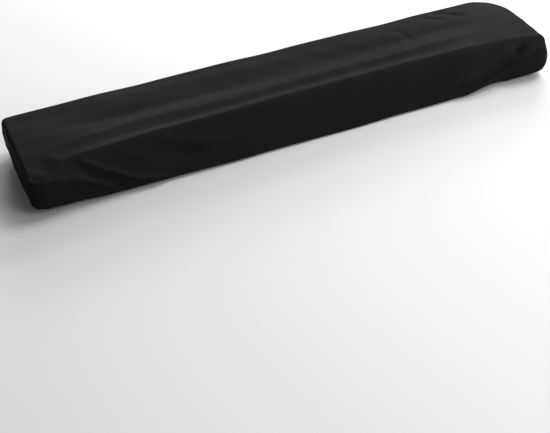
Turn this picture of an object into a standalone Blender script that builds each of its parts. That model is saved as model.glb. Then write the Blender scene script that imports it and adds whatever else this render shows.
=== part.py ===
"""Fitted stretch cover for something long, low and flat-topped, as one closed sheet of cloth.

Metres, +Z up, +X along the length, +Y to the back. The origin is under the middle of the top,
where the cover rests on what it covers. Every fold is a row of the tables below.
"""
import math

import bmesh
import bpy
import numpy as np

# Sizes of the cover
LENGTH = 1.340            # over the end walls at the top edge
WIDTH = 0.260             # over the front and back walls at the top edge
CLOTH = 0.0015            # thickness of the cloth
HEM_CLOTH = 0.0028        # the same cloth doubled over its elastic
EDGE = 0.013              # radius of the edges round the top
LEFT_EDGE = 0.0075        # the same at the left end, where the cloth is pulled tighter
CORNERS = {               # radius of each upright corner, seen from above
    "front_left": 0.020,
    "front_right": 0.024,
    "back_right": 0.082,
    "back_left": 0.018,
}
HALF_LENGTH = LENGTH / 2 - EDGE
HALF_WIDTH = WIDTH / 2 - EDGE

# Steps of the sheet. They lie closer together where the folds are.
STATIONS = 60             # steps along the length
COURSES = 18              # steps across the top
LEFT_FOLDS = (-0.530, 0.120, 2.6)     # middle, reach and strength of the crowding there
RIGHT_FOLDS = (0.550, 0.110, 2.6)
CREASE = (-0.064, 0.024, 1.2)
FRONT = (-HALF_WIDTH, 0.020, 0.6)
NARROWEST = 0.0095        # half width of the narrowest fold that steps like these can draw

# One row for each place along the length.
#     x: place, crease: y where the flat of the top ends, drop: how far the front edge lies below
#     the top, edge: radius of the front edge, front and back: depth of the hem under the top
SECTION_COLUMNS = ("x", "crease", "drop", "edge", "front", "back")
SECTIONS = (
    (-0.670, -0.086, 0.009, 0.0095, 0.090, 0.090),
    (-0.630, -0.085, 0.010, 0.0095, 0.091, 0.091),
    (-0.600, -0.084, 0.013, 0.0100, 0.092, 0.092),
    (-0.570, -0.083, 0.020, 0.0105, 0.093, 0.093),
    (-0.520, -0.081, 0.037, 0.0130, 0.095, 0.094),
    (-0.450, -0.080, 0.054, 0.0130, 0.098, 0.095),
    (-0.350, -0.076, 0.063, 0.0130, 0.099, 0.097),
    (-0.150, -0.077, 0.067, 0.0130, 0.102, 0.099),
    (0.100, -0.073, 0.069, 0.0130, 0.103, 0.101),
    (0.300, -0.071, 0.067, 0.0130, 0.102, 0.101),
    (0.420, -0.073, 0.061, 0.0130, 0.101, 0.099),
    (0.500, -0.072, 0.048, 0.0130, 0.091, 0.098),
    (0.560, -0.073, 0.030, 0.0120, 0.101, 0.097),
    (0.610, -0.082, 0.013, 0.0105, 0.096, 0.096),
    (0.670, -0.100, 0.004, 0.0095, 0.090, 0.093),
)

# One row for each course of the wall, from the top's border down to the rim of the hem.
#     out: outward in edge radii, down: depth in edge radii, depth: share of the hem's depth,
#     cloth: thickness. The first three are for an upright wall, the next two for the sloping front.
WALL_COLUMNS = ("out", "down", "depth", "slope_out", "slope_depth", "cloth")
WALL = np.array((
    (0.00, 0.00, 0.00, 0.00, 0.00, CLOTH),
    (0.42, 0.09, 0.00, 0.21, 0.15, CLOTH),
    (0.80, 0.40, 0.00, 0.41, 0.31, CLOTH),
    (1.00, 0.95, 0.00, 0.59, 0.47, CLOTH),
    (1.22, 0.60, 0.22, 0.75, 0.62, CLOTH),
    (1.42, 0.30, 0.44, 0.88, 0.75, CLOTH),
    (1.44, 0.10, 0.66, 0.96, 0.86, CLOTH),
    (1.30, -0.05, 0.86, 0.94, 0.94, CLOTH),
    (0.92, -0.05, 0.975, 0.70, 0.985, CLOTH),
    (0.28, 0.00, 1.00, 0.08, 1.00, HEM_CLOTH),
    (-0.40, 0.00, 1.00, -0.50, 1.00, HEM_CLOTH),
    (-0.92, 0.00, 0.985, -1.05, 0.985, HEM_CLOTH),
))
WIDEST = 1.44
SLOPED = 0.045

# One row for each fold: a soft line through a few places.
#     height: out of the cloth (a minus sign sinks it), upper and lower: half width on the two
#     sides of the line (upper is on its left for someone who walks along it on the cloth),
#     crest: 2 for a soft crest and 1.3 for a crisp one, fade: share of its length over which it
#     dies away at each end
FOLD_COLUMNS = ("name", "line", "height", "upper", "lower", "crest", "fade")
FOLDS = (
    ("back_swell",
     ((-0.600, 0.078, 0.0), (-0.050, 0.080, 0.0), (0.550, 0.088, 0.0)),
     0.0016, 0.0300, 0.0260, 2.0, 0.18),
    ("back_valley",
     ((-0.600, 0.014, 0.0), (-0.360, 0.016, 0.0), (-0.120, 0.022, 0.0), (0.160, 0.024, 0.0),
      (0.400, 0.031, 0.0), (0.570, 0.036, 0.0)),
     -0.0044, 0.0260, 0.0260, 2.0, 0.18),
    ("far_valley",
     ((0.040, 0.024, 0.0), (0.260, 0.026, 0.0), (0.520, 0.034, 0.0)),
     -0.0024, 0.0220, 0.0220, 2.0, 0.35),
    ("middle_ridge",
     ((-0.620, -0.036, 0.0), (-0.500, -0.030, 0.0), (-0.380, -0.022, 0.0), (-0.286, -0.028, 0.0),
      (-0.165, -0.034, 0.0), (0.0, -0.028, 0.0), (0.155, -0.025, 0.0), (0.300, -0.026, 0.0),
      (0.450, -0.021, 0.0), (0.620, -0.026, 0.0)),
     0.0046, 0.0340, 0.0160, 1.3, 0.14),
    ("far_ridge",
     ((0.040, -0.027, 0.0), (0.260, -0.026, 0.0), (0.540, -0.023, 0.0)),
     0.0016, 0.0260, 0.0130, 1.3, 0.35),
    ("middle_valley",
     ((-0.540, -0.056, 0.0), (-0.200, -0.055, 0.0), (0.100, -0.051, 0.0), (0.530, -0.049, 0.0)),
     -0.0014, 0.0120, 0.0110, 2.0, 0.20),
    ("front_crease",
     ((-0.585, -0.098, -0.001), (-0.522, -0.086, 0.0), (-0.454, -0.082, 0.0), (-0.385, -0.077, 0.0),
      (-0.300, -0.075, 0.0), (-0.186, -0.078, 0.0), (-0.028, -0.071, 0.0), (0.127, -0.074, 0.0),
      (0.269, -0.070, 0.0), (0.410, -0.074, 0.0), (0.567, -0.072, 0.0)),
     0.0042, 0.0170, 0.0090, 1.3, 0.09),
    ("left_drag_ridge",
     ((-0.565, -0.093, -0.002), (-0.538, -0.106, -0.015), (-0.507, -0.114, -0.035),
      (-0.474, -0.119, -0.053), (-0.438, -0.124, -0.072), (-0.393, -0.127, -0.083),
      (-0.356, -0.128, -0.089)),
     0.0064, 0.0095, 0.0065, 1.4, 0.14),
    ("left_drag_trough",
     ((-0.567, -0.108, -0.011), (-0.538, -0.117, -0.029), (-0.510, -0.121, -0.049),
      (-0.482, -0.124, -0.068), (-0.457, -0.128, -0.083)),
     -0.0052, 0.0110, 0.0090, 1.8, 0.25),
    ("left_second_ridge",
     ((-0.589, -0.130, -0.018), (-0.564, -0.129, -0.031), (-0.539, -0.127, -0.047),
      (-0.505, -0.125, -0.067), (-0.480, -0.128, -0.082)),
     0.0040, 0.0080, 0.0065, 1.5, 0.25),
    ("left_second_trough",
     ((-0.567, -0.132, -0.045), (-0.537, -0.129, -0.062), (-0.507, -0.128, -0.077)),
     -0.0030, 0.0070, 0.0060, 1.8, 0.30),
    ("left_corner_hollow",
     ((-0.603, -0.135, -0.045), (-0.583, -0.135, -0.059), (-0.554, -0.133, -0.078)),
     -0.0040, 0.0120, 0.0120, 2.0, 0.35),
    ("left_corner_fall",
     ((-0.662, -0.040, 0.0), (-0.664, -0.085, -0.001), (-0.654, -0.124, -0.009),
      (-0.610, -0.126, -0.009)),
     -0.0046, 0.0340, 0.0260, 2.0, 0.35),
    ("left_upper_fold",
     ((-0.480, -0.091, -0.006), (-0.454, -0.098, -0.016), (-0.426, -0.103, -0.026),
      (-0.384, -0.111, -0.045)),
     0.0026, 0.0110, 0.0090, 1.6, 0.30),
    ("left_long_fold",
     ((-0.393, -0.073, 0.0), (-0.355, -0.090, -0.010), (-0.312, -0.100, -0.025),
      (-0.255, -0.108, -0.042), (-0.193, -0.111, -0.051)),
     0.0036, 0.0120, 0.0120, 1.4, 0.25),
    ("left_long_trough",
     ((-0.417, -0.098, -0.018), (-0.374, -0.105, -0.034), (-0.320, -0.110, -0.047),
      (-0.268, -0.113, -0.055)),
     -0.0042, 0.0160, 0.0140, 2.0, 0.30),
    ("front_hollow",
     ((-0.281, -0.092, -0.012), (-0.188, -0.101, -0.028), (-0.076, -0.100, -0.028)),
     -0.0026, 0.0180, 0.0140, 2.0, 0.35),
    ("right_drag_ridge",
     ((0.608, -0.098, -0.003), (0.569, -0.111, -0.019), (0.537, -0.117, -0.036),
      (0.499, -0.119, -0.053), (0.463, -0.122, -0.065), (0.428, -0.124, -0.077),
      (0.387, -0.125, -0.081)),
     0.0066, 0.0260, 0.0090, 1.4, 0.22),
    ("right_drag_trough",
     ((0.619, -0.104, -0.004), (0.603, -0.113, -0.011), (0.582, -0.122, -0.022),
      (0.559, -0.126, -0.045), (0.538, -0.127, -0.062), (0.498, -0.126, -0.074),
      (0.459, -0.128, -0.083)),
     -0.0078, 0.0085, 0.0100, 1.6, 0.20),
    ("right_middle_ridge",
     ((0.627, -0.109, -0.005), (0.603, -0.128, -0.015), (0.577, -0.130, -0.044),
      (0.552, -0.128, -0.062), (0.527, -0.128, -0.076)),
     0.0030, 0.0080, 0.0080, 1.7, 0.30),
    ("right_corner_trough",
     ((0.635, -0.112, -0.005), (0.619, -0.124, -0.012), (0.606, -0.131, -0.028),
      (0.597, -0.133, -0.045)),
     -0.0030, 0.0060, 0.0070, 1.8, 0.30),
    ("right_back_crease",
     ((0.447, 0.121, 0.0), (0.479, 0.108, 0.001), (0.511, 0.086, 0.001), (0.548, 0.056, 0.001)),
     -0.0030, 0.0055, 0.0090, 1.6, 0.25),
    ("right_back_short_crease",
     ((0.415, 0.113, 0.001), (0.449, 0.089, 0.001), (0.492, 0.075, 0.001)),
     -0.0024, 0.0060, 0.0090, 1.6, 0.30),
    ("right_top_crease",
     ((0.315, 0.091, 0.001), (0.342, 0.066, 0.001), (0.352, 0.038, 0.001), (0.368, 0.012, 0.001),
      (0.396, -0.009, 0.001)),
     -0.0024, 0.0055, 0.0100, 1.6, 0.25),
    ("left_end_fold",
     ((-0.676, 0.080, -0.020), (-0.678, 0.0, -0.045), (-0.676, -0.090, -0.060)),
     0.0026, 0.0160, 0.0180, 2.0, 0.30),
    ("right_end_fold",
     ((0.676, -0.090, -0.040), (0.678, 0.0, -0.052), (0.676, 0.060, -0.070)),
     0.0026, 0.0180, 0.0180, 2.0, 0.30),
    ("right_back_corner",
     ((0.590, 0.132, -0.004), (0.645, 0.108, 0.0), (0.668, 0.050, -0.004)),
     -0.0060, 0.0300, 0.0300, 2.0, 0.30),
    ("left_back_corner",
     ((-0.664, 0.126, -0.002), (-0.672, 0.132, -0.020), (-0.672, 0.130, -0.050)),
     0.0055, 0.0180, 0.0180, 2.0, 0.25),
    ("right_front_corner",
     ((0.664, -0.122, -0.002), (0.672, -0.128, -0.022), (0.674, -0.126, -0.056)),
     0.0035, 0.0220, 0.0220, 2.0, 0.25),
    ("back_left_drag",
     ((-0.600, 0.130, -0.020), (-0.470, 0.136, -0.055), (-0.330, 0.134, -0.085)),
     0.0040, 0.0180, 0.0150, 2.0, 0.30),
    ("back_right_drag",
     ((0.560, 0.132, -0.025), (0.450, 0.136, -0.055), (0.320, 0.134, -0.082)),
     0.0040, 0.0160, 0.0180, 2.0, 0.30),
)

# Slow unevenness of the whole sheet: height, length of the wave along and across, start.
SWELLS = ((0.0007, 0.310, 0.190, 0.7), (0.0003, 0.170, -0.260, 2.1), (0.0003, 0.900, 0.046, 4.4))


def section(x, name):
    """Values of one column at places along the length."""
    return np.interp(x, [row[0] for row in SECTIONS], [row[SECTION_COLUMNS.index(name)] for row in SECTIONS])


def smooth_rows(rows, steps):
    """Rows resampled on smooth curves through the given ones."""
    place = np.linspace(0.0, len(rows) - 1.0, steps + 1)
    padded = np.vstack([2 * rows[0] - rows[1], rows, 2 * rows[-1] - rows[-2]])
    k = np.minimum(place.astype(int), len(rows) - 2)
    t = (place - k)[:, None]
    a, b, c, d = padded[k], padded[k + 1], padded[k + 2], padded[k + 3]
    bent = (2 * a - 5 * b + 4 * c - d) * t ** 2 + (3 * b - a - 3 * c + d) * t ** 3
    return 0.5 * (2 * b + (c - a) * t + bent)


def ease(t):
    t = np.clip(t, 0.0, 1.0)
    return t * t * (3.0 - 2.0 * t)


def crowded(low, high, steps, crowds):
    """Places from low to high that lie closer together near each (place, reach, strength)."""
    grid = np.linspace(low, high, 4001)
    weight = np.ones_like(grid)
    for place, reach, strength in crowds:
        weight += strength * np.exp(-((grid - place) / reach) ** 2)
    total = np.concatenate(([0.0], np.cumsum((weight[1:] + weight[:-1]) / 2.0)))
    return np.interp(np.linspace(0.0, total[-1], steps + 1), total, grid)


steps_x = crowded(-HALF_LENGTH, HALF_LENGTH, STATIONS, (LEFT_FOLDS, RIGHT_FOLDS))
steps_y = crowded(-HALF_WIDTH, HALF_WIDTH, COURSES, (CREASE, FRONT))
ARCS = []
for corner, side_x, side_y in (("front_left", -1, -1), ("front_right", 1, -1),
                               ("back_right", 1, 1), ("back_left", -1, 1)):
    radius = max(CORNERS[corner] - EDGE, 0.004)
    ARCS.append((side_x, side_y, side_x * (HALF_LENGTH - radius), side_y * (HALF_WIDTH - radius), radius))


def rounded(x, y):
    """Points of the square grid moved onto the round-cornered top."""
    new_x, new_y = x.copy(), y.copy()
    for side_x, side_y, centre_x, centre_y, radius in ARCS:
        u, v = (x - centre_x) * side_x / radius, (y - centre_y) * side_y / radius
        inside = (u > 0) & (v > 0)
        u, v = np.clip(u, 0, 1), np.clip(v, 0, 1)
        new_x = np.where(inside, centre_x + side_x * radius * u * np.sqrt(1 - v * v / 2), new_x)
        new_y = np.where(inside, centre_y + side_y * radius * v * np.sqrt(1 - u * u / 2), new_y)
    return new_x, new_y


def outward(x, y):
    """Directions straight out of the border at its points."""
    way = np.zeros((len(x), 2))
    on_end = np.abs(np.abs(x) - HALF_LENGTH) < 1e-6
    way[on_end, 0] = np.sign(x[on_end])
    way[~on_end, 1] = np.sign(y[~on_end])
    for side_x, side_y, centre_x, centre_y, radius in ARCS:
        here = ((x - centre_x) * side_x > 1e-9) & ((y - centre_y) * side_y > 1e-9)
        way[here] = np.c_[x - centre_x, y - centre_y][here]
    return way / np.linalg.norm(way, axis=1)[:, None]


def top_height(x, y):
    """The top is flat behind the crease and slopes down in front of it."""
    crease = section(x, "crease")
    run = crease + HALF_WIDTH + WIDEST * (EDGE - section(x, "edge"))
    share = np.clip((crease - y) / run, 0.0, 1.0)
    return -section(x, "drop") * share ** 1.7


def tight(x, y):
    """Radius of the top's edge, which is tighter at the left end and on the front of each end."""
    on_left = ease((-x - HALF_LENGTH + 0.022) / 0.022)
    on_front = ease((-y - HALF_WIDTH + 0.022) / 0.022)
    edge = EDGE + (section(x, "edge") - EDGE) * on_front
    return edge + (LEFT_EDGE - edge) * on_left


def spread(x, y):
    """The top moved out to where its tighter edges begin."""
    room_x, room_y = EDGE - LEFT_EDGE, EDGE - section(x, "edge")
    new_x = x - WIDEST * room_x * np.clip((-x - HALF_LENGTH + 0.10) / 0.10, 0, 1)
    new_y = y - WIDEST * room_y * np.clip((-y - HALF_WIDTH + 0.06) / 0.06, 0, 1)
    return new_x, new_y


def smooth_sheet():
    """Points, faces, pattern places and cloth thickness of the sheet, and the rings of its wall."""
    x, y = np.meshgrid(steps_x, steps_y, indexing="ij")
    x, y = rounded(x, y)
    x, y = x.ravel(), y.ravel()
    even_x, even_y = x, y
    x, y = spread(x, y)
    points = [np.c_[x, y, top_height(x, y)]]
    number = np.arange((STATIONS + 1) * (COURSES + 1)).reshape(STATIONS + 1, COURSES + 1)
    border = np.concatenate([number[:-1, 0], number[-1, :-1], number[:0:-1, -1], number[0, :0:-1]])
    side = np.repeat([0, 1, 2, 3], [STATIONS, COURSES, STATIONS, COURSES])
    faces = [np.stack([number[:-1, :-1], number[1:, :-1], number[1:, 1:], number[:-1, 1:]], -1).reshape(-1, 4)]
    sides = [np.full(len(faces[0]), -1)]
    cloth = [np.full(len(x), CLOTH)]
    base = points[0][border]
    way = outward(even_x[border], even_y[border])
    edge = tight(even_x[border], even_y[border])
    drop = -base[:, 2]
    slope = np.maximum(-way[:, 1], 0) * ease(drop / SLOPED)
    share = (even_y[border] + HALF_WIDTH) / (2 * HALF_WIDTH)
    hem = section(base[:, 0], "front") * (1 - share) + section(base[:, 0], "back") * share
    rings = [border]
    count = len(x)
    for out, down, depth, slope_out, slope_depth, thick in WALL[1:]:
        bend = np.where(depth < 0.5, edge, EDGE)
        upright = -down * bend - depth * hem
        sloping = -drop - slope_depth * (hem - drop)
        reach = WIDEST * edge - (WIDEST - out) * bend
        reach = reach * (1 - slope) + slope_out * EDGE * slope
        z = np.minimum(upright * (1 - slope) + sloping * slope, base[:, 2])
        points.append(np.c_[base[:, :2] + way * reach[:, None], z])
        cloth.append(np.full(len(border), thick))
        rings.append(count + np.arange(len(border)))
        count += len(border)
        upper, lower = rings[-2], rings[-1]
        faces.append(np.stack([upper, lower, np.roll(lower, -1), np.roll(upper, -1)], -1))
        sides.append(side)
    return np.vstack(points), np.vstack(faces), np.concatenate(sides), np.concatenate(cloth), rings


def outward_ways(points, faces):
    """Smooth outward direction at each point."""
    across = np.cross(points[faces[:, 2]] - points[faces[:, 0]], points[faces[:, 3]] - points[faces[:, 1]])
    ways = np.zeros_like(points)
    for corner in range(4):
        np.add.at(ways, faces[:, corner], across)
    return ways / np.linalg.norm(ways, axis=1)[:, None]


def fold_lift(points, ways, row):
    """How far one fold lifts each point."""
    name, line, height, upper, lower, crest, fade = row
    line = smooth_rows(np.array(line), 8 * (len(line) - 1))
    near = np.full(len(points), 1e9)
    share = np.zeros(len(points))
    side = np.zeros(len(points))
    for k in range(len(line) - 1):
        along = line[k + 1] - line[k]
        t = np.clip((points - line[k]) @ along / (along @ along), 0, 1)
        offset = points - (line[k] + t[:, None] * along)
        distance = np.linalg.norm(offset, axis=1)
        closer = distance < near
        near[closer] = distance[closer]
        share[closer] = ((k + t) / (len(line) - 1))[closer]
        side[closer] = np.einsum("ij,ij->i", np.cross(ways, along), offset)[closer]
    width = np.where(side >= 0, upper, lower)
    return height * np.exp(-(near / width) ** crest) * ease(share / fade) * ease((1 - share) / fade)


def whole_lift(points, ways):
    """How far all folds and slow waves together lift each point."""
    lift = np.zeros(len(points))
    for name, line, height, upper, lower, crest, fade in FOLDS:
        row = (name, line, height, max(upper, NARROWEST), max(lower, NARROWEST), crest, fade)
        lift += fold_lift(points, ways, row)
    for height, along, across, start in SWELLS:
        turns = points[:, 0] / along + (points[:, 1] - points[:, 2]) / across
        lift += height * np.sin(2 * math.pi * turns + start)
    return lift


def material(name, colour, roughness):
    mat = bpy.data.materials.new(name)
    mat.use_nodes = True
    shader = mat.node_tree.nodes["Principled BSDF"]
    shader.inputs["Base Color"].default_value = colour + (1.0,)
    shader.inputs["Roughness"].default_value = roughness
    mat.diffuse_color = colour + (1.0,)
    return mat


def build_cover():
    """The cover as one closed body: outer face, inner face and the rim that joins them."""
    points, faces, sides, cloth, rings = smooth_sheet()
    ways = outward_ways(points, faces)
    outer = points + ways * whole_lift(points, ways)[:, None]
    inner = outer - outward_ways(outer, faces) * cloth[:, None]
    centre_lift = whole_lift(np.zeros((1, 3)), np.array([[0.0, 0.0, 1.0]]))[0]
    rise = np.array([0.0, 0.0, CLOTH - centre_lift])
    rim = rings[-1]
    rim_faces = np.stack([rim, rim + len(outer), np.roll(rim, -1) + len(outer), np.roll(rim, -1)], -1)
    all_points = np.vstack([outer + rise, inner + rise])
    all_faces = np.vstack([faces, faces[:, ::-1] + len(outer), rim_faces])
    data = bpy.data.meshes.new("cover")
    data.from_pydata([tuple(point) for point in all_points.tolist()], [], all_faces.tolist())
    mesh = bmesh.new()
    mesh.from_mesh(data)
    bmesh.ops.recalc_face_normals(mesh, faces=mesh.faces)
    mesh.to_mesh(data)
    mesh.free()
    for polygon in data.polygons:
        polygon.use_smooth = True
    cover = bpy.data.objects.new("cover", data)
    cover.data.materials.append(material("black_stretch_cloth", (0.012, 0.012, 0.013), 0.85))
    bpy.context.scene.collection.objects.link(cover)
    size = np.ptp(all_points, axis=0)
    print("cover", len(all_points), "points", len(all_faces), "faces, size", size.round(4))
    return cover


for old in list(bpy.data.objects):
    bpy.data.objects.remove(old, do_unlink=True)
build_cover()
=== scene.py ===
# %% [markdown]
# # A fitted stretch cover, dressed for its picture
# The real cover is one piece of black knitted cloth. It is pulled over something long, low and flat,
# and an elastic inside its hem draws it in underneath. The solid model already has its size and its
# main folds. This script lays a much finer sheet on nearly the same folds, crisper at the corners, and
# gives it the finish of the real cloth.

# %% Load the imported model
import math

import bpy
import numpy as np
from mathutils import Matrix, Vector


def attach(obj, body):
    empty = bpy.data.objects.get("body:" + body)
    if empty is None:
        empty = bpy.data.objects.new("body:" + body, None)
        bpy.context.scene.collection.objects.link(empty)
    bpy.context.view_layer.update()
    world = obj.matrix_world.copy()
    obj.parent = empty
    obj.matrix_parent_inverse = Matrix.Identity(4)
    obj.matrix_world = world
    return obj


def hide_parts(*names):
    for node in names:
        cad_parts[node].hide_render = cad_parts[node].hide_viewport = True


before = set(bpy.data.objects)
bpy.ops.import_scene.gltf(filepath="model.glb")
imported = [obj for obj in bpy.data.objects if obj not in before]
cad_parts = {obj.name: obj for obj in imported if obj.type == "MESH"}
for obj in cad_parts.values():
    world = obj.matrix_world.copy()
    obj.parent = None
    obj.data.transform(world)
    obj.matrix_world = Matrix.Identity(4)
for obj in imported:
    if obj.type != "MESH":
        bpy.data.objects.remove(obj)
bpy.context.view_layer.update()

# %% [markdown]
# The sizes are those of the solid, in metres, apart from the back right corner, which is a little
# tighter. The sheet has far more steps: one every 5 mm or so is fine enough for soft folds in a sheet
# over a metre long. So it can hold crisper folds and softer edges near its corners than the coarse
# solid can, and a few rows below are drawn further than the solid's.

# %% Sizes of the cover
LENGTH = 1.340            # over the end walls at the top edge
WIDTH = 0.260             # over the front and back walls at the top edge
CLOTH = 0.0015            # thickness of the cloth
HEM_CLOTH = 0.0028        # the same cloth doubled over its elastic
EDGE = 0.013              # radius of the edges round the top
LEFT_EDGE = 0.0075        # the same at the left end, where the cloth is pulled tighter
CORNERS = {               # radius of each upright corner, seen from above
    "front_left": 0.020,
    "front_right": 0.024,
    "back_right": 0.066,
    "back_left": 0.018,
}
STATIONS = 270            # steps along the length
COURSES = 66              # steps across the top
WALL_STEPS = 33           # steps from the top's border down to the rim
print("sheet of", LENGTH, "by", WIDTH, "m over the top, in", STATIONS, "by", COURSES, "steps")

# %% [markdown]
# A long form like this is easiest to describe by sections. Each row below is one place along the
# length: where the flat of the top ends, how far the front edge lies below it, how round that edge is,
# and how deep the hem hangs at the front and at the back. The hem is drawn up at the ends and hangs
# lower in the middle.

# %% Sections along the length
SECTION_COLUMNS = ("x", "crease", "drop", "edge", "front", "back")
SECTIONS = (
    (-0.670, -0.086, 0.009, 0.0120, 0.090, 0.090),
    (-0.630, -0.085, 0.010, 0.0145, 0.091, 0.091),
    (-0.600, -0.084, 0.013, 0.0165, 0.092, 0.092),
    (-0.570, -0.083, 0.020, 0.0170, 0.093, 0.093),
    (-0.520, -0.081, 0.037, 0.0130, 0.095, 0.094),
    (-0.450, -0.080, 0.054, 0.0130, 0.098, 0.095),
    (-0.350, -0.076, 0.063, 0.0130, 0.099, 0.097),
    (-0.150, -0.077, 0.067, 0.0130, 0.102, 0.099),
    (0.100, -0.073, 0.069, 0.0130, 0.103, 0.101),
    (0.300, -0.071, 0.067, 0.0130, 0.102, 0.101),
    (0.420, -0.073, 0.061, 0.0130, 0.101, 0.099),
    (0.500, -0.072, 0.046, 0.0160, 0.091, 0.098),
    (0.560, -0.074, 0.024, 0.0230, 0.101, 0.097),
    (0.610, -0.082, 0.011, 0.0250, 0.096, 0.096),
    (0.670, -0.096, 0.004, 0.0180, 0.090, 0.093),
)


def section(x, name):
    """Values of one column at places along the length."""
    column = SECTION_COLUMNS.index(name)
    return np.interp(x, [row[0] for row in SECTIONS], [row[column] for row in SECTIONS])


print(len(SECTIONS), "sections, hem depth", section(0.0, "front"), "m at the middle of the front")

# %% [markdown]
# The wall is described from the top's border down to the rim of the hem, once for an upright wall
# and once for the sloping front. Its last courses turn under, where the elastic pulls the hem in.
# Steps out and down are in edge radii, depths are shares of the hem's depth. An upright wall bulges out
# to WIDEST, and a front whose edge lies lower than SLOPED is all slope. SLOPE_CURVE says how the top
# bends down to it: 1 would be a straight slope and 2 a parabola.

# %% Courses of the wall
# columns: out, down, depth, slope out, slope depth, thickness of the cloth
WALL = np.array((
    (0.00, 0.00, 0.00, 0.00, 0.00, CLOTH),
    (0.42, 0.09, 0.00, 0.21, 0.15, CLOTH),
    (0.80, 0.40, 0.00, 0.41, 0.31, CLOTH),
    (1.00, 0.95, 0.00, 0.59, 0.47, CLOTH),
    (1.22, 0.60, 0.22, 0.75, 0.62, CLOTH),
    (1.42, 0.30, 0.44, 0.88, 0.75, CLOTH),
    (1.44, 0.10, 0.66, 0.96, 0.86, CLOTH),
    (1.30, -0.05, 0.86, 0.94, 0.94, CLOTH),
    (0.92, -0.05, 0.975, 0.70, 0.985, CLOTH),
    (0.28, 0.00, 1.00, 0.08, 1.00, HEM_CLOTH),
    (-0.40, 0.00, 1.00, -0.50, 1.00, HEM_CLOTH),
    (-0.92, 0.00, 0.985, -1.05, 0.985, HEM_CLOTH),
))
WIDEST = 1.44
SLOPED = 0.045
SLOPE_CURVE = 1.7


def smooth_rows(rows, steps):
    """Rows resampled on smooth curves through the given ones."""
    place = np.linspace(0.0, len(rows) - 1.0, steps + 1)
    padded = np.vstack([2 * rows[0] - rows[1], rows, 2 * rows[-1] - rows[-2]])
    k = np.minimum(place.astype(int), len(rows) - 2)
    t = (place - k)[:, None]
    a, b, c, d = padded[k], padded[k + 1], padded[k + 2], padded[k + 3]
    bent = (2 * a - 5 * b + 4 * c - d) * t ** 2 + (3 * b - a - 3 * c + d) * t ** 3
    return 0.5 * (2 * b + (c - a) * t + bent)


wall_rows = smooth_rows(WALL, WALL_STEPS)
print("wall of", len(WALL), "rows drawn in", len(wall_rows))

# %% [markdown]
# Stretch cloth pulled along its length buckles into long low ridges, and it drags towards each corner
# that holds it. Every fold is one row: a soft line from start through middle to end, how far it lifts
# or sinks the cloth, its half width on either side, how round its crest is (2 is soft, 1.3 crisp),
# and how soon it dies away at its ends.

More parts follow.
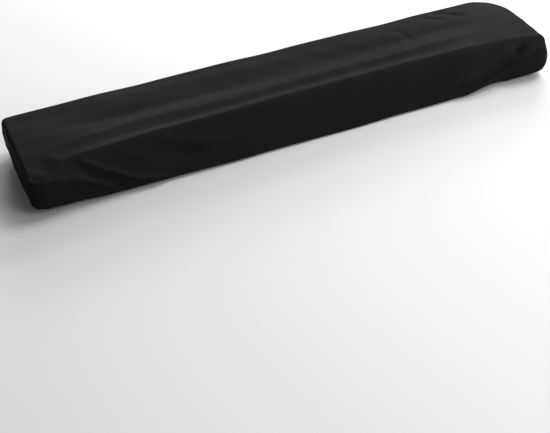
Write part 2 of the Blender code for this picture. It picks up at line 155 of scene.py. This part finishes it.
# %% Folds
# columns: name, line, height, upper half width, lower half width, crest, fade
FOLDS = (
    ("back_swell",
     ((-0.600, 0.078, 0.0), (-0.050, 0.080, 0.0), (0.550, 0.088, 0.0)),
     0.0016, 0.0300, 0.0260, 2.0, 0.18),
    ("back_valley",
     ((-0.600, 0.014, 0.0), (-0.360, 0.016, 0.0), (-0.120, 0.022, 0.0), (0.160, 0.024, 0.0),
      (0.400, 0.031, 0.0), (0.570, 0.036, 0.0)),
     -0.0044, 0.0260, 0.0260, 2.0, 0.18),
    ("far_valley",
     ((0.040, 0.024, 0.0), (0.260, 0.026, 0.0), (0.520, 0.034, 0.0)),
     -0.0024, 0.0220, 0.0220, 2.0, 0.35),
    ("middle_ridge",
     ((-0.620, -0.036, 0.0), (-0.500, -0.030, 0.0), (-0.380, -0.022, 0.0), (-0.286, -0.028, 0.0),
      (-0.165, -0.034, 0.0), (0.0, -0.028, 0.0), (0.155, -0.025, 0.0), (0.300, -0.026, 0.0),
      (0.450, -0.021, 0.0), (0.620, -0.026, 0.0)),
     0.0046, 0.0340, 0.0160, 1.3, 0.14),
    ("far_ridge",
     ((0.040, -0.027, 0.0), (0.260, -0.026, 0.0), (0.540, -0.023, 0.0)),
     0.0016, 0.0260, 0.0130, 1.3, 0.35),
    ("middle_valley",
     ((-0.540, -0.056, 0.0), (-0.200, -0.055, 0.0), (0.100, -0.051, 0.0), (0.530, -0.049, 0.0)),
     -0.0014, 0.0120, 0.0110, 2.0, 0.20),
    ("front_crease",
     ((-0.585, -0.098, -0.001), (-0.522, -0.086, 0.0), (-0.454, -0.082, 0.0), (-0.385, -0.077, 0.0),
      (-0.300, -0.075, 0.0), (-0.186, -0.078, 0.0), (-0.028, -0.071, 0.0), (0.127, -0.074, 0.0),
      (0.269, -0.070, 0.0), (0.410, -0.074, 0.0), (0.530, -0.071, 0.0)),
     0.0054, 0.0165, 0.0115, 1.2, 0.10),
    ("left_drag_ridge",
     ((-0.564, -0.090, -0.002), (-0.538, -0.104, -0.015), (-0.506, -0.114, -0.035),
      (-0.473, -0.119, -0.053), (-0.438, -0.124, -0.072), (-0.393, -0.127, -0.084),
      (-0.356, -0.128, -0.090)),
     0.0064, 0.0060, 0.0052, 1.4, 0.14),
    ("left_drag_trough",
     ((-0.566, -0.107, -0.015), (-0.538, -0.116, -0.033), (-0.510, -0.121, -0.051),
      (-0.482, -0.125, -0.070), (-0.457, -0.128, -0.086)),
     -0.0056, 0.0100, 0.0090, 1.8, 0.25),
    ("left_second_ridge",
     ((-0.588, -0.124, -0.025), (-0.563, -0.124, -0.039), (-0.538, -0.123, -0.052),
      (-0.505, -0.126, -0.069), (-0.480, -0.129, -0.085)),
     0.0048, 0.0070, 0.0055, 1.4, 0.25),
    ("left_second_trough",
     ((-0.566, -0.127, -0.051), (-0.537, -0.127, -0.067), (-0.507, -0.128, -0.080)),
     -0.0036, 0.0060, 0.0060, 1.8, 0.30),
    ("left_corner_hollow",
     ((-0.603, -0.133, -0.050), (-0.583, -0.132, -0.064), (-0.553, -0.129, -0.084)),
     -0.0040, 0.0120, 0.0120, 2.0, 0.35),
    ("left_corner_fall",
     ((-0.662, -0.040, 0.0), (-0.664, -0.085, -0.001), (-0.654, -0.124, -0.009),
      (-0.610, -0.126, -0.009)),
     -0.0046, 0.0340, 0.0260, 2.0, 0.35),
    ("left_dimple",
     ((-0.645, -0.111, -0.007), (-0.626, -0.091, -0.001), (-0.604, -0.068, 0.0)),
     -0.0056, 0.0170, 0.0190, 2.0, 0.40),
    ("left_upper_fold",
     ((-0.480, -0.092, -0.007), (-0.454, -0.099, -0.017), (-0.427, -0.104, -0.028),
      (-0.384, -0.112, -0.047)),
     0.0026, 0.0110, 0.0090, 1.6, 0.30),
    ("left_long_fold",
     ((-0.394, -0.077, 0.0), (-0.355, -0.091, -0.012), (-0.312, -0.101, -0.027),
      (-0.256, -0.109, -0.044), (-0.193, -0.112, -0.053)),
     0.0036, 0.0120, 0.0120, 1.4, 0.25),
    ("left_long_trough",
     ((-0.417, -0.099, -0.020), (-0.374, -0.106, -0.036), (-0.320, -0.111, -0.049),
      (-0.268, -0.114, -0.058)),
     -0.0042, 0.0160, 0.0140, 2.0, 0.30),
    ("front_hollow",
     ((-0.282, -0.093, -0.014), (-0.188, -0.102, -0.030), (-0.077, -0.101, -0.030)),
     -0.0026, 0.0180, 0.0140, 2.0, 0.35),
    ("right_drag_ridge",
     ((0.602, -0.094, -0.007), (0.570, -0.100, -0.018), (0.534, -0.106, -0.032),
      (0.499, -0.111, -0.043), (0.462, -0.116, -0.055), (0.426, -0.120, -0.066),
      (0.393, -0.122, -0.072)),
     0.0120, 0.0270, 0.0085, 1.5, 0.26),
    ("right_drag_trough",
     ((0.622, -0.099, -0.007), (0.605, -0.106, -0.018), (0.587, -0.112, -0.027),
      (0.566, -0.116, -0.040), (0.546, -0.116, -0.055), (0.523, -0.118, -0.066),
      (0.492, -0.122, -0.073), (0.460, -0.125, -0.082), (0.428, -0.128, -0.091)),
     -0.0115, 0.0075, 0.0085, 1.7, 0.26),
    ("right_drag_notch",
     ((0.604, -0.107, -0.019), (0.585, -0.113, -0.028), (0.565, -0.116, -0.041)),
     -0.0042, 0.0075, 0.0080, 1.8, 0.40),
    ("right_middle_ridge",
     ((0.636, -0.107, -0.011), (0.622, -0.117, -0.022), (0.601, -0.124, -0.039),
      (0.578, -0.125, -0.059), (0.552, -0.123, -0.077)),
     0.0040, 0.0085, 0.0100, 1.8, 0.30),
    ("right_corner_trough",
     ((0.649, -0.113, -0.011), (0.637, -0.121, -0.021), (0.628, -0.127, -0.033),
      (0.618, -0.130, -0.046)),
     -0.0022, 0.0065, 0.0075, 1.8, 0.35),
    ("right_back_crease",
     ((0.447, 0.121, 0.0), (0.479, 0.108, 0.001), (0.511, 0.086, 0.001), (0.548, 0.056, 0.001)),
     -0.0030, 0.0055, 0.0090, 1.6, 0.25),
    ("right_back_short_crease",
     ((0.415, 0.113, 0.001), (0.449, 0.089, 0.001), (0.492, 0.075, 0.001)),
     -0.0024, 0.0060, 0.0090, 1.6, 0.30),
    ("right_top_crease",
     ((0.315, 0.091, 0.001), (0.342, 0.066, 0.001), (0.352, 0.038, 0.001), (0.368, 0.012, 0.001),
      (0.396, -0.009, 0.001)),
     -0.0024, 0.0055, 0.0100, 1.6, 0.25),
    ("left_end_fold",
     ((-0.676, 0.080, -0.020), (-0.678, 0.0, -0.045), (-0.676, -0.090, -0.060)),
     0.0026, 0.0160, 0.0180, 2.0, 0.30),
    ("right_end_fold",
     ((0.676, -0.090, -0.040), (0.678, 0.0, -0.052), (0.676, 0.060, -0.070)),
     0.0026, 0.0180, 0.0180, 2.0, 0.30),
    ("right_back_corner",
     ((0.590, 0.132, -0.004), (0.645, 0.108, 0.0), (0.668, 0.050, -0.004)),
     -0.0042, 0.0300, 0.0300, 2.0, 0.30),
    ("left_back_corner",
     ((-0.664, 0.126, -0.002), (-0.672, 0.132, -0.020), (-0.672, 0.130, -0.050)),
     0.0044, 0.0180, 0.0180, 2.0, 0.25),
    ("right_front_corner",
     ((0.640, -0.126, -0.002), (0.664, -0.124, -0.006), (0.674, -0.100, -0.004)),
     -0.0035, 0.0220, 0.0220, 2.0, 0.35),
    ("back_left_drag",
     ((-0.600, 0.130, -0.020), (-0.470, 0.136, -0.055), (-0.330, 0.134, -0.085)),
     0.0040, 0.0180, 0.0150, 2.0, 0.30),
    ("back_right_drag",
     ((0.560, 0.132, -0.025), (0.450, 0.136, -0.055), (0.320, 0.134, -0.082)),
     0.0040, 0.0160, 0.0180, 2.0, 0.30),
)
# columns: height, length of a wave along the cover, length across it, start
SWELLS = ((0.0007, 0.310, 0.190, 0.7), (0.0003, 0.170, -0.260, 2.1), (0.0003, 0.900, 0.046, 4.4))
print(len(FOLDS), "folds and", len(SWELLS), "slow waves")

# %% [markdown]
# The sheet is a grid over the top whose border runs on down the walls, ring by ring. Towards the ends
# and along the front crease the steps lie closer together, because the folds are tighter there.

# %% Where the steps of the grid lie
HALF_LENGTH, HALF_WIDTH = LENGTH / 2 - EDGE, WIDTH / 2 - EDGE
# columns: place, reach, strength
CROWDS_ALONG = ((-0.54, 0.16, 0.9), (0.58, 0.12, 0.9))
CROWDS_ACROSS = ((-0.064, 0.024, 1.0), (-HALF_WIDTH, 0.02, 0.5))
RULER_MARKS = 4001


def ease(t):
    """Runs from 0 to 1 with a soft start and end."""
    t = np.clip(t, 0.0, 1.0)
    return t * t * (3.0 - 2.0 * t)


def crowded(low, high, steps, crowds):
    """Places from low to high that lie closer together near each crowd."""
    grid = np.linspace(low, high, RULER_MARKS)
    weight = np.ones_like(grid)
    for place, reach, strength in crowds:
        weight += strength * np.exp(-((grid - place) / reach) ** 2)
    total = np.concatenate(([0.0], np.cumsum((weight[1:] + weight[:-1]) / 2.0)))
    return np.interp(np.linspace(0.0, total[-1], steps + 1), total, grid)


steps_x = crowded(-HALF_LENGTH, HALF_LENGTH, STATIONS, CROWDS_ALONG)
steps_y = crowded(-HALF_WIDTH, HALF_WIDTH, COURSES, CROWDS_ACROSS)
step_sizes = np.diff(steps_x) * 1000
print("steps from", round(float(step_sizes.min()), 2), "to", round(float(step_sizes.max()), 2), "mm")

# %% Round corners of the top
LEAST_RADIUS = 0.004
SIDES_OF_CORNERS = {
    "front_left": (-1, -1),
    "front_right": (1, -1),
    "back_right": (1, 1),
    "back_left": (-1, 1),
}
ARCS = []
for corner, (side_x, side_y) in SIDES_OF_CORNERS.items():
    radius = max(CORNERS[corner] - EDGE, LEAST_RADIUS)
    ARCS.append((side_x, side_y, side_x * (HALF_LENGTH - radius), side_y * (HALF_WIDTH - radius), radius))


def rounded(x, y):
    """Points of the square grid moved onto the round-cornered top."""
    new_x, new_y = x.copy(), y.copy()
    for side_x, side_y, centre_x, centre_y, radius in ARCS:
        u, v = (x - centre_x) * side_x / radius, (y - centre_y) * side_y / radius
        inside = (u > 0) & (v > 0)
        u, v = np.clip(u, 0, 1), np.clip(v, 0, 1)
        new_x = np.where(inside, centre_x + side_x * radius * u * np.sqrt(1 - v * v / 2), new_x)
        new_y = np.where(inside, centre_y + side_y * radius * v * np.sqrt(1 - u * u / 2), new_y)
    return new_x, new_y


def outward(x, y):
    """Directions straight out of the border at its points."""
    way = np.zeros((len(x), 2))
    on_end = np.abs(np.abs(x) - HALF_LENGTH) < 1e-6
    way[on_end, 0] = np.sign(x[on_end])
    way[~on_end, 1] = np.sign(y[~on_end])
    for side_x, side_y, centre_x, centre_y, radius in ARCS:
        here = ((x - centre_x) * side_x > 1e-9) & ((y - centre_y) * side_y > 1e-9)
        way[here] = np.c_[x - centre_x, y - centre_y][here]
    return way / np.linalg.norm(way, axis=1)[:, None]


print(len(ARCS), "round corners, radii", [round(arc[4], 3) for arc in ARCS])

# %% [markdown]
# Before any fold, the top is a smooth surface: flat at the back, curving down in front of the crease.
# Where its edge is tighter or rounder than elsewhere, the top reaches a little further out or stops a
# little earlier, so that the wall below stays where it is.

# %% The smooth top
EDGE_BLEND = 0.022
SPREAD_ALONG, SPREAD_ACROSS = 0.10, 0.06


def front_run(x):
    """How far the top goes on in front of the crease."""
    return section(x, "crease") + HALF_WIDTH + WIDEST * (EDGE - section(x, "edge"))


def top_height(x, y):
    """The top is flat behind the crease and slopes down in front of it."""
    share = np.clip((section(x, "crease") - y) / front_run(x), 0.0, 1.0)
    return -section(x, "drop") * share ** SLOPE_CURVE


def edge_radius(x, y):
    """Radius of the top's edge: the section's own at the front, and a tight one at the left end."""
    on_left = ease((-x - HALF_LENGTH + EDGE_BLEND) / EDGE_BLEND)
    on_front = ease((-y - HALF_WIDTH + EDGE_BLEND) / EDGE_BLEND)
    edge = EDGE + (section(x, "edge") - EDGE) * on_front
    return edge + (LEFT_EDGE - edge) * on_left


def spread(x, y):
    """The top moved to where its own edges begin."""
    room_x, room_y = EDGE - LEFT_EDGE, EDGE - section(x, "edge")
    new_x = x - WIDEST * room_x * np.clip((-x - HALF_LENGTH + SPREAD_ALONG) / SPREAD_ALONG, 0, 1)
    new_y = y - WIDEST * room_y * np.clip((-y - HALF_WIDTH + SPREAD_ACROSS) / SPREAD_ACROSS, 0, 1)
    return new_x, new_y


def top_grid():
    """Places on the square-edged top, points in space, faces, and numbers of the border's points."""
    x, y = np.meshgrid(steps_x, steps_y, indexing="ij")
    x, y = rounded(x, y)
    even = np.c_[x.ravel(), y.ravel()]
    x, y = spread(even[:, 0], even[:, 1])
    points = np.c_[x, y, top_height(x, y)]
    number = np.arange(len(points)).reshape(STATIONS + 1, COURSES + 1)
    border = np.concatenate([number[:-1, 0], number[-1, :-1], number[:0:-1, -1], number[0, :0:-1]])
    corners = number[:-1, :-1], number[1:, :-1], number[1:, 1:], number[:-1, 1:]
    return even, points, np.stack(corners, -1).reshape(-1, 4), border


even, top_points, top_faces, border = top_grid()
print("top:", len(top_points), "points,", len(border), "of them on its border")

# %% [markdown]
# The wall hangs from the border. At the back and the ends it rounds over the edge and falls upright.
# At the front the slope of the top runs straight on into it, and where one turns into the other near
# the ends, the two shapes melt into each other, so that no ledge shows. Down to OWN_EDGE_DEPTH of the
# hem's depth the wall follows its own edge, and below that every wall has the same one.

# %% The wall, ring by ring
OWN_EDGE_DEPTH = 0.5
MELT_SHARE, MELT_MOST = 0.25, 0.004


def wall_rings(even, base):
    """Points of the rings under the border, whose own points are base."""
    way = outward(even[:, 0], even[:, 1])
    edge = edge_radius(even[:, 0], even[:, 1])
    drop = -base[:, 2]
    # How much each place faces the front, and how much of its wall is slope and not upright.
    facing = np.maximum(-way[:, 1], 0)
    slope = facing * ease(drop / SLOPED)
    # How steeply the top runs on past the border, and over what height it melts into the wall.
    steep = facing * (1 - slope) * SLOPE_CURVE * section(base[:, 0], "drop") / front_run(base[:, 0])
    melt = np.minimum(MELT_SHARE * drop, MELT_MOST) * (1 - slope)
    # How far below the flat of the top an upright wall begins where it doesn't face the front.
    lowered = drop * (1 - facing * (1 - slope))
    back = (even[:, 1] + HALF_WIDTH) / (2 * HALF_WIDTH)
    hem = section(base[:, 0], "front") * (1 - back) + section(base[:, 0], "back") * back
    rings = []
    for out, down, depth, slope_out, slope_depth, thick in wall_rows[1:]:
        bend = edge if depth < OWN_EDGE_DEPTH else EDGE
        upright = -down * bend - depth * hem - lowered * (1 - depth)
        sloping = -drop - slope_depth * (hem - drop)
        reach = (WIDEST * edge - (WIDEST - out) * bend) * (1 - slope) + slope_out * EDGE * slope
        wall = upright * (1 - slope) + sloping * slope
        onward = base[:, 2] - steep * reach
        z = 0.5 * (wall + onward - np.sqrt((wall - onward) ** 2 + melt ** 2))
        rings.append(np.c_[base[:, :2] + way * reach[:, None], z])
    return rings


wall_points = wall_rings(even[border], top_points[border])
print("wall:", len(wall_points), "rings of", len(border), "points")

# %% Put the top and the wall together
points = np.vstack([top_points] + wall_points)
rings = [border]
for k in range(WALL_STEPS):
    rings.append(len(top_points) + k * len(border) + np.arange(len(border)))
faces = [top_faces]
for upper, lower in zip(rings[:-1], rings[1:]):
    faces.append(np.stack([upper, lower, np.roll(lower, -1), np.roll(upper, -1)], -1))
faces = np.vstack(faces)
side = np.repeat([0, 1, 2, 3], [STATIONS, COURSES, STATIONS, COURSES])
sides = np.concatenate([np.full(len(top_faces), -1)] + [side] * WALL_STEPS)
cloth = np.concatenate([np.full(len(top_points), CLOTH), np.repeat(wall_rows[1:, -1], len(border))])
print("smooth sheet:", len(points), "points", len(faces), "faces")

# %% [markdown]
# A fold moves each point of the cloth along its own outward direction, by a bell curve of its distance
# from the fold's line. The directions are evened out first, so that a fold that crosses an edge doesn't
# bunch the points up. All the rows are added together, and slow waves keep the calm parts from looking
# machined.

# %% How far each point is lifted
EVENING_PASSES, EVENING_SHARE = 32, 0.25
LINE_STEPS = 8


def outward_ways(points, faces, passes):
    """Outward direction at each point, evened out with its neighbours."""
    first = points[faces[:, 2]] - points[faces[:, 0]]
    second = points[faces[:, 3]] - points[faces[:, 1]]
    across = np.cross(first, second)
    ways = np.zeros_like(points)
    for corner in range(4):
        np.add.at(ways, faces[:, corner], across)
    ways /= np.linalg.norm(ways, axis=1)[:, None]
    for turn in range(passes):
        middle = ways[faces].mean(axis=1)
        for corner in range(4):
            np.add.at(ways, faces[:, corner], EVENING_SHARE * middle)
        ways /= np.linalg.norm(ways, axis=1)[:, None]
    return ways


def fold_lift(points, ways, row):
    """How far one fold lifts each point."""
    line, height, upper, lower, crest, fade = row[1:]
    line = smooth_rows(np.array(line), LINE_STEPS * (len(line) - 1))
    near = np.full(len(points), np.inf)
    share = np.zeros(len(points))
    side = np.zeros(len(points))
    for k in range(len(line) - 1):
        along = line[k + 1] - line[k]
        t = np.clip((points - line[k]) @ along / (along @ along), 0, 1)
        offset = points - (line[k] + t[:, None] * along)
        distance = np.linalg.norm(offset, axis=1)
        closer = distance < near
        near[closer] = distance[closer]
        share[closer] = ((k + t) / (len(line) - 1))[closer]
        side[closer] = np.einsum("ij,ij->i", np.cross(ways, along), offset)[closer]
    width = np.where(side >= 0, upper, lower)
    return height * np.exp(-(near / width) ** crest) * ease(share / fade) * ease((1 - share) / fade)


def whole_lift(points, ways):
    """How far all folds and slow waves together lift each point."""
    lift = np.zeros(len(points))
    for row in FOLDS:
        lift += fold_lift(points, ways, row)
    for height, along, across, start in SWELLS:
        turns = points[:, 0] / along + (points[:, 1] - points[:, 2]) / across
        lift += height * np.sin(2 * math.pi * turns + start)
    return lift


print("outward directions are evened out in", EVENING_PASSES, "passes")

# %% Lay the folds into the sheet
ways = outward_ways(points, faces, EVENING_PASSES)
lift = whole_lift(points, ways)
outer = points + ways * lift[:, None]
lowest, highest = float(lift.min()) * 1000, float(lift.max()) * 1000
print("folds lift the cloth from", round(lowest, 1), "to", round(highest, 1), "mm")

# %% [markdown]
# The solid's origin is on the inner face under the middle of the top, so the sheet is raised until its
# own inner face is there too. Then it gets its thickness: an inner face a little inside the outer
# one, thicker where the hem is doubled, joined to it round the rim.

# %% Give the sheet its thickness
MIDDLE, UPWARDS = np.zeros((1, 3)), np.array([[0.0, 0.0, 1.0]])
rise = UPWARDS * (CLOTH - whole_lift(MIDDLE, UPWARDS)[0])
inner = outer - outward_ways(outer, faces, 1) * cloth[:, None] + rise
outer = outer + rise
rim = rings[-1]
rim_faces = np.stack([rim, rim + len(outer), np.roll(rim, -1) + len(outer), np.roll(rim, -1)], -1)
all_points = np.vstack([outer, inner])
all_faces = np.vstack([faces, faces[:, ::-1] + len(outer), rim_faces])
all_sides = np.concatenate([sides, sides, sides[-len(rim):]])
print("raised by", round(float(rise[0, 2]) * 1000, 2), "mm, rim of", len(rim), "points")

# %% Make the sheet a mesh
mesh = bpy.data.meshes.new("stretch_cover")
mesh.from_pydata([tuple(point) for point in all_points.tolist()], [], all_faces.tolist())
mesh.update()
cover = bpy.data.objects.new("stretch_cover", mesh)
bpy.context.scene.collection.objects.link(cover)
print("sheet mesh:", len(mesh.vertices), "points", len(mesh.polygons), "faces")

# %% [markdown]
# The knit has to follow the cloth round its edges, so each face gets a place on the flat cut: the top
# as it lies, and each wall folded out from its own edge. The unit of the map is a metre.

# %% Lay out the flat cut
OUT_OF_SIDES = np.array([[0, -1], [1, 0], [0, 1], [-1, 0]])
layout = mesh.uv_layers.new(name="flat_cut")
travel = np.zeros(len(outer))
for upper, lower in zip(rings[:-1], rings[1:]):
    travel[lower] = travel[upper] + np.linalg.norm(outer[lower] - outer[upper], axis=1)
travel = np.concatenate([travel, travel])
start_xy = np.concatenate([points[:, :2]] * 2)
loop_points = np.array([loop.vertex_index for loop in mesh.loops])
loop_sides = np.repeat(all_sides, 4)
walls = loop_sides >= 0
coordinates = start_xy[loop_points]
coordinates[walls] += OUT_OF_SIDES[loop_sides[walls]] * travel[loop_points[walls], None]
layout.data.foreach_set("uv", coordinates.ravel())
print("flat cut about", [round(float(v), 3) for v in np.ptp(coordinates, axis=0)], "m")

# %% [markdown]
# Finish: knitted polyester with elastane, dyed black. The eye sees a dull, deep black with almost no
# shine and a very faint bloom where the cloth turns away, from short fibres that catch light. The
# knit could be real loops, but its courses are about 0.6 mm apart, too fine for a picture of the whole
# cover, so it is a bump pattern on the flat cut, drawn at 1.6 mm. The dye varies by a shade or two.


# %% Helpers for colours and nodes
def linear(code):
    """An sRGB hex colour as linear numbers."""
    values = [int(code[k:k + 2], 16) / 255 for k in (1, 3, 5)]
    return tuple(v / 12.92 if v <= 0.04045 else ((v + 0.055) / 1.055) ** 2.4 for v in values) + (1.0,)


def node(tree, kind, links=(), **settings):
    """Adds a node with its settings; links join (socket of this node, output socket)."""
    made = tree.nodes.new(kind)
    for key, value in settings.items():
        if key.startswith("in_"):
            made.inputs[key[3:].replace("_", " ")].default_value = value
        else:
            setattr(made, key, value)
    for name, source in links:
        tree.links.new(made.inputs[name], source)
    return made


DARK_DYE, PALE_DYE, FIBRE_BLOOM = linear("#1a1a1c"), linear("#202022"), linear("#d8d8dc")
print("darkest black of the cloth", [round(v, 4) for v in DARK_DYE[:3]])

# %% Black knitted stretch cloth: its stitches
KNIT_PITCH = 0.0016
ONE_BAND_PER_UNIT = 0.314
knit = bpy.data.materials.new("black_knitted_stretch_polyester")
knit.use_nodes = True
tree = knit.node_tree
shader = tree.nodes["Principled BSDF"]
flat_cut = node(tree, "ShaderNodeUVMap", uv_map="flat_cut")
scaled = node(tree, "ShaderNodeMapping", [("Vector", flat_cut.outputs["UV"])],
              in_Scale=(1 / KNIT_PITCH,) * 3)
courses = node(tree, "ShaderNodeTexWave", [("Vector", scaled.outputs["Vector"])], wave_type="BANDS",
               bands_direction="Y", in_Scale=ONE_BAND_PER_UNIT, in_Distortion=0.6, in_Detail=1.0)
wales = node(tree, "ShaderNodeTexWave", [("Vector", scaled.outputs["Vector"])], wave_type="BANDS",
             bands_direction="X", in_Scale=ONE_BAND_PER_UNIT, in_Distortion=0.6, in_Detail=1.0)
stitches = node(tree, "ShaderNodeMath", [(0, courses.outputs["Fac"]), (1, wales.outputs["Fac"])],
                operation="MULTIPLY")
bump = node(tree, "ShaderNodeBump", [("Height", stitches.outputs["Value"])],
            in_Strength=0.25, in_Distance=0.0002)
tree.links.new(shader.inputs["Normal"], bump.outputs["Normal"])
print("stitches", KNIT_PITCH * 1000, "mm apart")

# %% Black knitted stretch cloth: its dye and dull surface
PATCHES_PER_METRE = 9.0
body = node(tree, "ShaderNodeTexCoord")
patches = node(tree, "ShaderNodeTexNoise", [("Vector", body.outputs["Object"])],
               in_Scale=PATCHES_PER_METRE, in_Detail=3.0)
tone = node(tree, "ShaderNodeMix", [("Factor", patches.outputs["Fac"])], data_type="RGBA")
tone.inputs["A"].default_value = DARK_DYE
tone.inputs["B"].default_value = PALE_DYE
tree.links.new(shader.inputs["Base Color"], tone.outputs["Result"])
shader.inputs["Roughness"].default_value = 0.55
shader.inputs["Specular IOR Level"].default_value = 0.003
shader.inputs["Sheen Weight"].default_value = 0.004
shader.inputs["Sheen Roughness"].default_value = 0.45
shader.inputs["Sheen Tint"].default_value = FIBRE_BLOOM
mesh.materials.append(knit)
print("finish", knit.name, "with", len(tree.nodes), "nodes")

# %% [markdown]
# The cover is one sheet, cut 0.52 by 1.60 m: the top, with a fall of 0.10 m and a hem of 0.03 m on every
# side. The sheet hangs on the frame's root and stands in for the solid, which is hidden.

# %% Finish the sheet and hang it on the frame in place of the solid
bpy.ops.object.select_all(action="DESELECT")
cover.select_set(True)
bpy.context.view_layer.objects.active = cover
bpy.ops.object.mode_set(mode="EDIT")
bpy.ops.mesh.select_all(action="SELECT")
bpy.ops.mesh.normals_make_consistent(inside=False)
bpy.ops.object.mode_set(mode="OBJECT")
bpy.ops.object.shade_smooth()
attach(cover, "root")
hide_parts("cover")
print("cover", [round(v, 4) for v in cover.dimensions])

# %% [markdown]
# The picture is taken from the front left, 41 degrees above the level, with a lens of 64 mm. These
# were worked out from the outline of the cover in the photo.

# %% Camera
LOOKS_DOWN, TURNED_RIGHT = 40.95, 25.17
camera = bpy.data.objects.new("camera", bpy.data.cameras.new("camera"))
bpy.context.scene.collection.objects.link(camera)
camera.data.sensor_width = 36.0
camera.data.lens = 64.19
camera.location = (-0.884, -1.792, 1.288)
camera.rotation_euler = (math.radians(90 - LOOKS_DOWN), 0.0, math.radians(-TURNED_RIGHT))
bpy.context.scene.camera = camera
print("lens", camera.data.lens, "mm, camera at", [round(v, 3) for v in camera.location])

# %% [markdown]
# The studio is plain: a pale floor just under the hem and five broad soft lights. The three on the right
# and behind the cover are strong and draw the long ridges. Two weak ones, one high at the back and one in
# front, lift the dark sides a little, and the world's even pale light keeps the floor's shadow soft.

# %% Floor
FLOOR_SIZE, FLOOR_GAP = 40.0, 0.0005
floor_height = min(v.co.z for v in mesh.vertices) - FLOOR_GAP
bpy.ops.object.select_all(action="DESELECT")
bpy.ops.mesh.primitive_plane_add(size=FLOOR_SIZE, location=(0.0, 0.0, floor_height))
floor = bpy.context.object
floor.name = "studio_floor"
paper = bpy.data.materials.new("white_studio_paper")
paper.use_nodes = True
paper.node_tree.nodes["Principled BSDF"].inputs["Base Color"].default_value = linear("#c6c6c6")
paper.node_tree.nodes["Principled BSDF"].inputs["Roughness"].default_value = 0.9
floor.data.materials.append(paper)
print("floor at", round(floor_height, 4), "m")

# %% Lights and world
# columns: name, azimuth, elevation, distance, size, power
LIGHTS = (
    ("right_light", 78, 50, 4.5, 2.0, 175),
    ("back_right_light", 45, 22, 4.5, 1.8, 190),
    ("back_light", 10, 15, 4.5, 1.6, 150),
    ("overhead_light", 20, 60, 4.5, 2.0, 30),
    ("front_light", 140, 35, 3.2, 2.0, 55),
)
WORLD_STRENGTH = 0.15


def soft_light(name, azimuth, elevation, distance, size, power):
    """A square area light aimed at the cover; azimuth is degrees from the back, turning to the right."""
    turn, height = math.radians(azimuth), math.radians(elevation)
    level = math.cos(height)
    place = Vector((math.sin(turn) * level, math.cos(turn) * level, math.sin(height))) * distance
    lamp = bpy.data.lights.new(name, "AREA")
    lamp.shape, lamp.size, lamp.energy = "SQUARE", size, power
    light = bpy.data.objects.new(name, lamp)
    light.location = place
    light.rotation_euler = (-place).to_track_quat("-Z", "Y").to_euler()
    bpy.context.scene.collection.objects.link(light)


for row in LIGHTS:
    soft_light(*row)
world = bpy.data.worlds.new("studio")
world.use_nodes = True
world.node_tree.nodes["Background"].inputs["Color"].default_value = linear("#ffffff")
world.node_tree.nodes["Background"].inputs["Strength"].default_value = WORLD_STRENGTH
bpy.context.scene.world = world
bpy.context.scene.view_settings.view_transform = "Standard"
print(len(LIGHTS), "soft lights")
